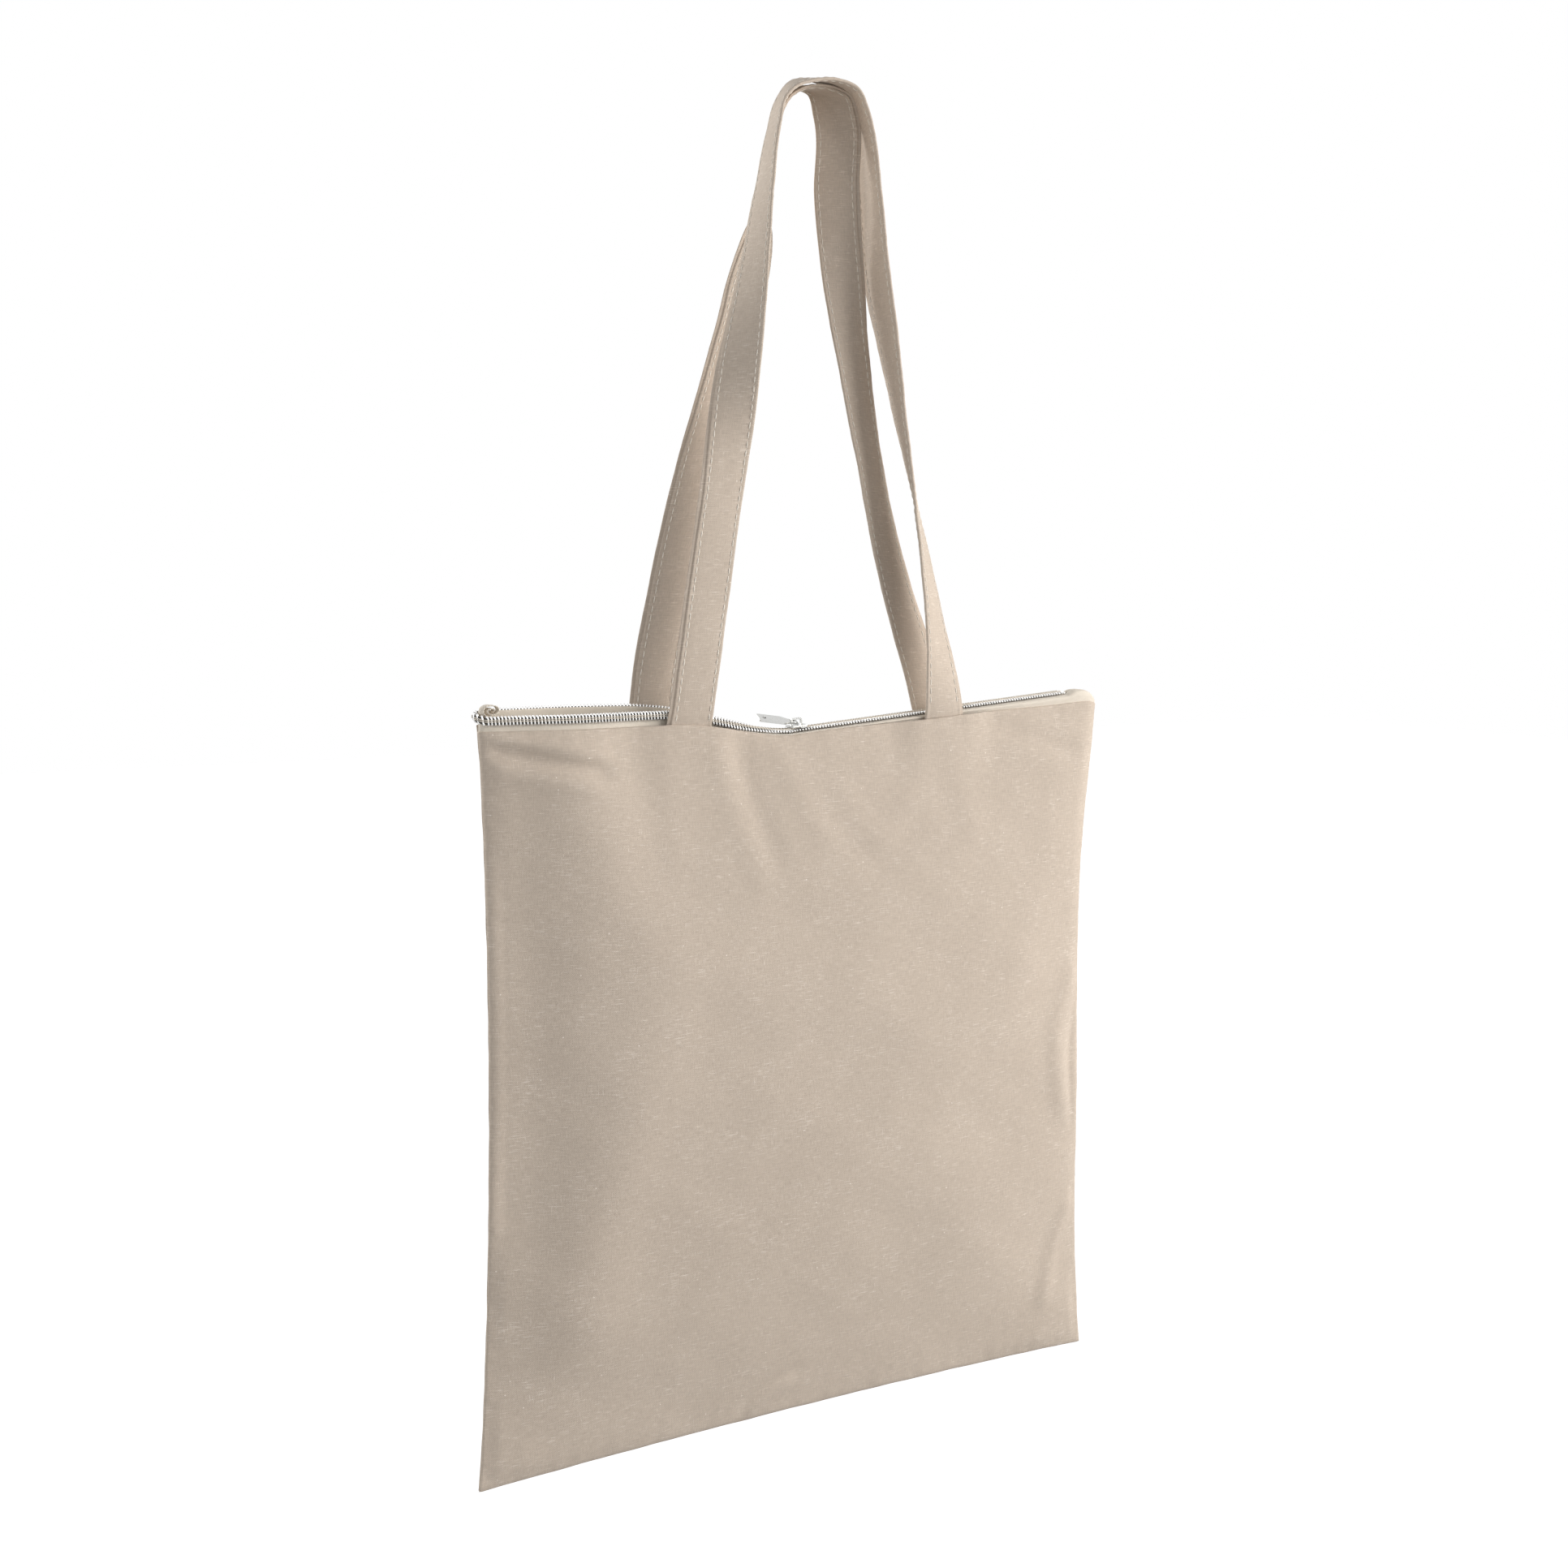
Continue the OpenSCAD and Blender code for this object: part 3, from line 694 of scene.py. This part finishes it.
def zip_frame(s):
    """A stringer at places along it: x, its tilt, the foot and head of its coil as (half width,
    height), and the direction out of its tape. Past the left corner it stays as at the corner."""
    x = np.maximum(s, -zip_end)
    a = np.radians(90 * smooth((slider_x - slider_l / 2 - x) / unzip_len))
    bare = smooth((x - coil_end) / 7)
    parting = (wedge_half + 0.4) * (1 - smooth((x - slider_x + 5) / 4))
    tape_y = np.maximum(mouth_gap(x) - tape_inset, corner_r)
    foot = np.stack([mix(chain_half + parting, tape_y, np.sin(a)),
                     zip_top_z(x) - mix(mix(flat_top, 0.5, bare), coil_w, np.sin(a))], -1)
    close = np.sqrt(1 - np.clip((x - right_end + end_round) / end_round, 0, 0.985) ** 2)
    foot[..., 0] = foot[..., 0] * close
    width = mix(chain_half * close - chain_clear, coil_w, np.sin(a))
    head = foot + width[..., None] * np.stack([-np.cos(a), np.sin(a)], -1)
    out = np.stack([np.sin(a), np.cos(a)], -1)
    return x, a, foot, head, out


def zip_point(s, side, yz):
    """A point of a stringer in space. Past the left end it goes round the corner."""
    turn = np.clip((-zip_end - s) / corner_r, 0, np.pi / 2)
    x = np.maximum(s, -zip_end) - np.sin(turn) * yz[..., 0]
    highest = rear_lift(x, REAR)
    lift = mix(rear_lift(x, side), highest / 2, smooth(turn / (np.pi / 2)))
    return np.stack([x, side * np.cos(turn) * yz[..., 0], yz[..., 1] + lift], -1)


corner_reach = corner_r * np.pi / 2


def zip_tape(name, side):
    """A twill tape, from under the coil to where it's sewn to the panel and tucked behind it."""
    s = np.linspace(-zip_end - corner_reach, right_end - 0.5, 480)
    if side == FRONT:
        s = s[::-1]
    x, a, foot, head, _ = zip_frame(s)
    sewn = np.maximum(mouth_gap(x) - tape_inset, 0.4)
    bow = np.maximum(sewn, mix(tape_bow * end_arc(x), sewn, a / (np.pi / 2)))
    past_coil = smooth((x - coil_end) / 7)[:, None]
    rows = [mix(foot, head, mix(0.72, 1, past_coil)), foot,
            np.stack([bow, mix(seam_z(x), foot[:, 1], 0.75)], -1),
            np.stack([sewn, seam_z(x)], -1),
            np.stack([sewn, seam_z(x) - seam_tuck * np.maximum(end_arc(x), 0.05)], -1)]
    profile = smooth_line(np.stack(rows), 5)
    wave = 0.12 * ripple(s, (13, 21, 37), 50 + side)
    points = np.stack([zip_point(s, side, row + np.stack([wave, 0 * wave], -1)) for row in profile], 1)
    across = np.linspace(0, 17, len(profile))
    weave = np.stack(np.broadcast_arrays(s[:, None], across[None, :]), -1)
    return thick_sheet(name, points, tape_t, weave)


def zip_coil(name, side, phase):
    """One row of the coil: a round wire wound in flattened loops with wide heads."""
    per_turn = 14
    start = -zip_end - corner_reach + 0.4
    turns = (coil_end - start) / coil_pitch
    theta = np.linspace(0, 2 * np.pi * turns, int(turns * per_turn))
    s = start + coil_pitch * (theta / (2 * np.pi) + phase)
    _, a, foot, head, out = zip_frame(s)
    across = np.sign(np.cos(theta)) * np.abs(np.cos(theta)) ** 0.75
    rise = np.sign(np.sin(theta)) * np.abs(np.sin(theta)) ** 0.85
    meet = 0.7 * np.cos(a) * smooth((s - slider_x) / 4)
    to_head = (head - foot) * (1 + meet / chain_half)[:, None]
    share = (0.5 + 0.5 * across) * 0.84 + 0.08
    lift = coil_lift + rise * (mix(0.85, coil_t / 2, np.sin(a)) - wire_r)
    yz = foot + to_head * share[:, None] + out * lift[:, None]
    path = zip_point(s, side, yz)
    centre = zip_point(s, side, foot + to_head * 0.5 + out * coil_lift)
    bead = wire_r * (1 + 0.75 * np.maximum(across, 0) ** 3 + 0.45 * np.maximum(-across, 0) ** 3)
    return tubes(name, path[None], (path - centre)[None], bead[None], 7)


def coil_cord(name, side):
    """The filler cord that the coil is wound round. Its material's near-black colour is painted shade
    for the gaps between the coil's turns.
    """
    s = np.linspace(-zip_end - corner_reach + 0.6, coil_end - 2, 700)
    _, _, foot, head, out = zip_frame(s)
    half = 0.5 * np.linalg.norm(head - foot, axis=1) - 1.3 * wire_r
    turn = 2 * np.pi * np.arange(10) / 10
    across = unit(head - foot)
    middle = mix(foot, head, 0.46) + out * coil_lift
    rings = (middle[:, None] + across[:, None] * (half[:, None] * np.cos(turn))[..., None]
             + out[:, None] * ((coil_t / 2 - 1.6 * wire_r) * np.sin(turn))[None, :, None])
    points = np.stack([zip_point(s, side, rings[:, k]) for k in range(len(turn))], 1)
    if side == FRONT:
        points = points[:, ::-1]
    weave = np.stack(np.broadcast_arrays(s[:, None], turn[None, :]), -1)
    return loft(name, points, weave)


def coil_stitches(name, side):
    """Two rows of thread that hold the coil to the tape, one stitch for each turn."""
    count = int((coil_end + zip_end + corner_reach - 2) / coil_pitch)
    starts = -zip_end - corner_reach + 1.2 + coil_pitch * np.arange(count)
    t = np.linspace(0, 1, 6)
    s = starts[:, None] + coil_pitch * 1.05 * t[None, :]
    rows = []
    normals = []
    for share in (0.4, 0.58):
        _, _, foot, head, out = zip_frame(s)
        height = coil_lift + coil_t / 2 - 0.12 + 0.3 * np.sin(np.pi * t)[None, :]
        yz = mix(head, foot, share) + out * height[..., None]
        rows.append(zip_point(s, side, yz))
        normals.append(zip_point(s, side, yz + out) - zip_point(s, side, yz))
    radii = np.broadcast_to(0.33 * np.sqrt(np.sin(np.pi * mix(0.08, 0.92, t))), (2 * count, 6))
    return tubes(name, np.concatenate(rows), np.concatenate(normals), radii, 6)


def tape_end():
    """The ends of the two tapes, rolled over each other at the undone corner."""
    turn = np.linspace(-0.3, 3.6 * np.pi, 70)
    radius = 0.9 + 0.27 * turn
    y = np.linspace(-3.1, 3.1, 15)
    centre_x = -zip_end + 2
    centre_z = float(zip_top_z(np.array(-zip_end))) + 2.6
    squeeze = 1 - 0.1 * (y / 3.1) ** 2
    x = centre_x + 1.5 * (radius * np.cos(turn))[:, None] * squeeze[None, :] + 0.12 * y[None, :] ** 2
    z = centre_z + (radius * np.sin(turn))[:, None] * squeeze[None, :] + 0.15 * ripple(x, (5, 8), 61)
    grid = np.stack([x, np.broadcast_to(y[None, :], x.shape), z], -1)
    weave = np.stack(np.broadcast_arrays((turn * 2)[:, None], y[None, :]), -1)
    return thick_sheet("tape_end", grid, 0.5, weave)


# ---- handles ----
# each station: x, y, z of the strap's middle, then the heading and the tilt of its width
FRONT_ROUTE = [
    (-76.2, -6.4, -349.5, 0, 0), (-76.1, -7.0, -346, 0, 0), (-75.9, -8.6, -341, 0, 0),
    (-75.3, -9.5, -335, 0, 0), (-65.5, -9.2, -269, 0, 0), (-54, -8.5, -195, -6, 0),
    (-47, -7.5, -148, -42, 0), (-38.5, -6.5, -100, -71, 0), (-31.5, -6, -52, -88, 0),
    (-25.5, -6, -17, -97, 0), (-20.5, -6, 0, -100, -10), (-12.5, -6, 10, -101, -20),
    (0, -6, 14, -101, -17), (13.5, -6, 13, -102, -6), (24.5, -6, 8, -103, 2),
    (30, -6, -5, -98, 3), (35, -6, -45, -88, 0), (40, -6.5, -94, -84, 0), (46, -7, -125, -92, 0),
    (52.5, -7.5, -160, -103, 0), (61, -8, -204, -116, 0), (71, -8.5, -252, -132, 0),
    (79, -9, -299, -150, 0), (83.6, -8.9, -335, -174, 0), (84.2, -8.2, -341, -178, 0),
    (84.5, -7.0, -346, -180, 0), (84.6, -6.4, -349.5, -180, 0),
]
REAR_ROUTE = [
    (-92.4, 6.6, -350, 0, 0), (-92.2, 7.4, -346.5, 0, 0), (-91.8, 9.3, -341, 0, 0),
    (-91, 10.4, -335, 0, 0), (-79.5, 10.6, -269, 0, 0), (-64, 11, -205, 2, 0),
    (-49, 12.5, -157, 4, 0), (-38, 14.5, -122, 4, 0), (-29.5, 16, -92, 9, 0),
    (-23.5, 17, -70, 30, 0), (-20.5, 14, -52, 62, 0), (-20, 9.5, -34, 76, 0),
    (-18.5, 7.5, -16, 80, 0), (-16, 6.5, -2.5, 82, 0), (-11.5, 6, 6.5, 90, 6),
    (-4, 5, 12, 104, 10), (5, 3, 12.7, 118, 9), (13, 1, 9.3, 138, 6), (17, 0, -3, 152, 0),
    (17.5, 0, -46, 155, 0), (22.5, 2, -90, 170, 0), (28, 4, -124, 188, 0),
    (34.5, 5, -159, 199, 0), (42, 6, -195, 205, 0), (55.5, 8, -249, 200, 0),
    (70, 10, -292, 190, 0), (84.3, 9.7, -335, 180, 0), (85.2, 8.9, -341, 180, 0),
    (85.8, 7.2, -346.5, 180, 0), (86, 6.6, -350, 180, 0),
]
strap_half = 13
strap_step = 1.7
layer_t = 0.9
lip = 2.2
stitch_near_lip = -strap_half + lip + 2.2
stitch_near_fold = strap_half - 2.5
stitch_row = 9.5                  # about how far both stitch rows are from the middle
stitch_dent = 0.14
stitch_pitch = 5.0
stitch_l = 4.1
settle_l = 12                     # the waves die out over this length at both ends


def strap_line(route):
    """Middle, width direction, face direction and length at fine steps along a strap."""
    r = np.array(route, float)
    stride = np.linalg.norm(np.diff(r[:, :3], axis=0), axis=1)
    slope = np.empty_like(r)
    slope[0] = (r[1] - r[0]) / stride[0]
    slope[-1] = (r[-1] - r[-2]) / stride[-1]
    before = stride[:-1, None]
    after = stride[1:, None]
    slope_in = (r[1:-1] - r[:-2]) / before
    slope_out = (r[2:] - r[1:-1]) / after
    slope[1:-1] = (slope_in * after + slope_out * before) / (before + after)
    parts = []
    for i, step in enumerate(stride):
        count = max(2, int(round(step / strap_step)))
        t = (np.arange(count) / count)[:, None]
        parts.append((2 * t**3 - 3 * t**2 + 1) * r[i] + (t**3 - 2 * t**2 + t) * step * slope[i]
                     + (3 * t**2 - 2 * t**3) * r[i + 1] + (t**3 - t**2) * step * slope[i + 1])
    s = np.concatenate(parts + [r[-1:]])
    middle = s[:, :3]
    heading = np.radians(s[:, 3])
    tilt = np.radians(s[:, 4])
    level = np.cos(tilt)
    across = np.stack([np.cos(heading) * level, np.sin(heading) * level, np.sin(tilt)], -1)
    along = unit(np.gradient(middle, axis=0))
    face = unit(np.cross(across, along))
    length = np.concatenate([[0], np.cumsum(np.linalg.norm(np.diff(middle, axis=0), axis=1))])
    return middle, across, face, length


def strap_section():
    """Outline of the folded strap, as (across, height): two layers, the rear one wider by a lip."""
    def arc(a, h, radius, start, end, count):
        turn = np.radians(np.linspace(start, end, count))
        return [(a + radius * math.cos(t), h + radius * math.sin(t)) for t in turn]

    def face(height, dent, stops):
        rows = []
        for a in stops:
            rows.append((a, height - dent if a in (stitch_near_lip, stitch_near_fold) else height))
        return rows

    upper = [stitch_near_lip - 0.7, stitch_near_lip, stitch_near_lip + 0.7, -4, 0, 4,
             stitch_near_fold - 0.7, stitch_near_fold, stitch_near_fold + 0.7]
    edge = layer_t / 2
    return (arc(strap_half - layer_t, 0, layer_t, 90, -90, 7)
            + face(-layer_t, -stitch_dent, upper[::-1])
            + arc(-strap_half + edge, -edge, edge, -90, -270, 6)
            + [(-strap_half + lip - 0.25, 0.03)]
            + arc(-strap_half + lip + edge, edge, edge, -120, -270, 6)
            + face(layer_t, stitch_dent, upper))


def handle(name, route, seed):
    """A strap's cloth, slightly wavy, with its edges settled flat at both ends."""
    middle, across, face, length = strap_line(route)
    section = np.array(strap_section())
    base_a = section[None, :, 0]
    base_h = section[None, :, 1]
    from_middle = base_a / strap_half
    a = base_a * (1 + 0.012 * ripple(length, (41, 67, 101), seed)[:, None])
    # the upper layer's edge by the lip wanders a little
    upper_edge = (base_h > 0.02) * (a < -stitch_row)
    shift = 0.35 * ripple(length, (37, 59, 83), seed + 1)[:, None] * upper_edge
    # the layers puff up between the stitch rows
    puff = 0.14 * np.cos(np.clip(base_a / stitch_row, -1, 1) * np.pi / 2) * np.sign(base_h)
    wave = 0.3 * ripple(length, (31, 53, 89), seed + 2)[:, None] * from_middle**2
    wave = wave + 0.12 * ripple(length, (7, 11, 17), seed + 3)[:, None] * from_middle**4
    settled = smooth(length / settle_l) * smooth((length[-1] - length) / settle_l)
    h = base_h + puff + wave * settled[:, None]
    rings = middle[:, None] + across[:, None] * (a + shift)[..., None] + face[:, None] * h[..., None]
    weave = np.stack(np.broadcast_arrays(section[None, :, 0], length[:, None]), -1)
    return loft(name, rings[:, ::-1], weave[:, ::-1]), (middle, across, face, length, wave, section)


def handle_stitches(name, strap):
    """Rows of stitches on both faces of a strap, each stitch a short arched thread."""
    middle, across, face, length, wave, section = strap
    tucked = 8
    count = int((length[-1] - 2 * tucked) / stitch_pitch)
    starts = tucked + stitch_pitch * np.arange(count)
    t = np.linspace(0, 1, 7)
    local = np.random.default_rng(71)
    paths = []
    normals = []
    for row in (stitch_near_lip, stitch_near_fold):
        column = int(np.abs(section[:, 0] - row).argmin())
        for side in (1, -1):
            s = starts[:, None] + stitch_l * t[None, :] + local.uniform(-0.25, 0.25, (count, 1))
            sway = local.uniform(-0.12, 0.12, (count, 1)) * (t[None, :] - 0.5) * 2
            at = np.stack([np.interp(s, length, middle[:, k]) for k in range(3)], -1)
            wide = np.stack([np.interp(s, length, across[:, k]) for k in range(3)], -1)
            up = np.stack([np.interp(s, length, face[:, k]) for k in range(3)], -1)
            rise = side * (layer_t - stitch_dent - 0.12 + 0.34 * np.sin(np.pi * t)[None, :] ** 0.7)
            rise = rise + np.interp(s, length, wave[:, column])
            paths.append(at + wide * (row + sway)[..., None] + up * rise[..., None])
            normals.append(up * side)
    radii = np.broadcast_to(0.32 * np.sqrt(np.sin(np.pi * mix(0.06, 0.94, t))), (4 * count, 7))
    return tubes(name, np.concatenate(paths), np.concatenate(normals), radii, 6)


# ---- slider and pull: the frame's solids, with softened edges ----
def finish_metal(node_name, material):
    """Gives a metal solid its material and small rounded edges."""
    node = frame["nodes"][node_name]
    for place in node.material_slots:
        place.material = material
    weld = node.modifiers.new("weld", "WELD")
    weld.merge_threshold = 0.002 * MM
    bevel = node.modifiers.new("bevel", "BEVEL")
    bevel.width = 0.16 * MM
    bevel.segments = 3
    bevel.limit_method = "ANGLE"
    bevel.angle_limit = math.radians(35)


def dress(piece, material, slot, body, *nodes):
    """Gives a piece its material, hides the frame's parts that it stands in for, and fixes it to a
    body. The slot is not used.
    """
    piece.data.materials.append(material)
    if nodes:
        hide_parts(*nodes)
    if body:
        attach(piece, body)
    return piece


# ---- the scene ----
bpy.context.scene.view_settings.view_transform = "Standard"
make_camera()
make_world(glow=0.38)
make_floor()
bag_middle = (0, 0, -0.5)
straps_middle = (0, 0, -0.2)
make_light("key", (1.35, -0.95, -0.05), bag_middle, size=1.3, energy=31, colour=(1, 0.97, 0.935))
make_light("fill", (-1.7, -0.35, -0.1), straps_middle, size=0.7, energy=6, colour=(1, 0.985, 0.96))
make_light("back", (-0.9, 1.5, 0.2), bag_middle, size=1.3, energy=22, colour=(1, 0.98, 0.95))

cotton_dark = (0.51, 0.432, 0.36)
cotton_light = (0.67, 0.575, 0.483)
panel_cloth = cloth_material("panel_cotton", cotton_dark, cotton_light,
                             thread_mm=0.5, slub=0.17, bump=0.35, specks=0.35, sheen=0.12)
strap_cloth = cloth_material("strap_cotton", cotton_dark, cotton_light,
                             thread_mm=0.5, slub=0.17, bump=0.4, specks=0.35, sheen=0.12)
seam_cloth = cloth_material("seam_cotton", (0.5, 0.44, 0.36), (0.66, 0.6, 0.5),
                            thread_mm=0.5, slub=0.05, bump=0.4, specks=0.2, sheen=0.1)
tape_cloth = tape_material()
seam_thread = thread_material("sewing_thread", (0.74, 0.68, 0.59), (0.95, 0.91, 0.84))
coil_thread = thread_material("coil_thread", (0.6, 0.54, 0.46), (0.84, 0.78, 0.68))
# the filler cord is a real part, but its near-black colour is painted shade for the gaps between the
# coil's turns
cord_painted_shade = thread_material("filler_cord_painted_shade", (0.02, 0.018, 0.012), (0.07, 0.06, 0.045))
coil_metal = metal_material("coil_silver", (0.82, 0.82, 0.82), (0.97, 0.97, 0.97),
                            roughness=0.26, grain_mm=0.6, metallic=0.6)
slider_metal = metal_material("slider_nickel", (0.42, 0.42, 0.41), (0.62, 0.62, 0.6),
                              roughness=0.27, grain_mm=0.5, metallic=1.0)
pull_metal = metal_material("pull_nickel", (0.52, 0.52, 0.51), (0.72, 0.72, 0.7),
                            roughness=0.24, grain_mm=0.5, metallic=1.0)

sides = {"front": FRONT, "rear": REAR}
folds = {"front": FRONT_FOLDS, "rear": REAR_FOLDS}
routes = {"front": FRONT_ROUTE, "rear": REAR_ROUTE}
for end, end_side in (("left", -1), ("right", 1)):
    strip, strip_thread = allowance(end + "_allowance", end_side)
    dress(strip, seam_cloth, "seam_cloth", "bag", end + "_side_seam")
    dress(strip_thread, seam_thread, "thread", "bag")
strip, strip_thread = bottom_allowance()
dress(strip, seam_cloth, "seam_cloth", "bag", "bottom_seam")
dress(strip_thread, seam_thread, "thread", "bag")
rolled_end = dress(tape_end(), tape_cloth, "zip_tape", "bag")

for which, side in sides.items():
    cloth = dress(panel(which + "_cloth", side, folds[which], 100 + 10 * side), panel_cloth,
                  "panel_cloth", "bag", which + "_panel")
    band, band_thread = turned_edge(which + "_turned_edge", side)
    dress(band, seam_cloth, "seam_cloth", "bag", which + "_mouth_seam")
    dress(band_thread, seam_thread, "thread", "bag")

    tape = dress(zip_tape(which + "_tape", side), tape_cloth, "zip_tape", "bag", which + "_zip_tape")
    coil = dress(zip_coil(which + "_coil", side, 0.0 if side == FRONT else 0.5), coil_metal,
                 "zip_coil", "bag", which + "_zip_coil")
    cord = dress(coil_cord(which + "_coil_cord", side), cord_painted_shade, "zip_coil", "bag")
    stitches = dress(coil_stitches(which + "_coil_stitches", side), coil_thread, "thread", "bag",
                     which + "_coil_thread")

    strap, strap_shape = handle(which + "_strap_cloth", routes[which], 80 + 5 * side)
    dress(strap, strap_cloth, "strap_cloth", None, which + "_handle")
    rows = dress(handle_stitches(which + "_strap_stitches", strap_shape), seam_thread, "thread", None,
                 which + "_handle_stitching")
    for piece in (strap, rows):
        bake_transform(piece)

finish_metal("slider_body", slider_metal)
finish_metal("slider_crown", slider_metal)
finish_metal("pull_tab", pull_metal)
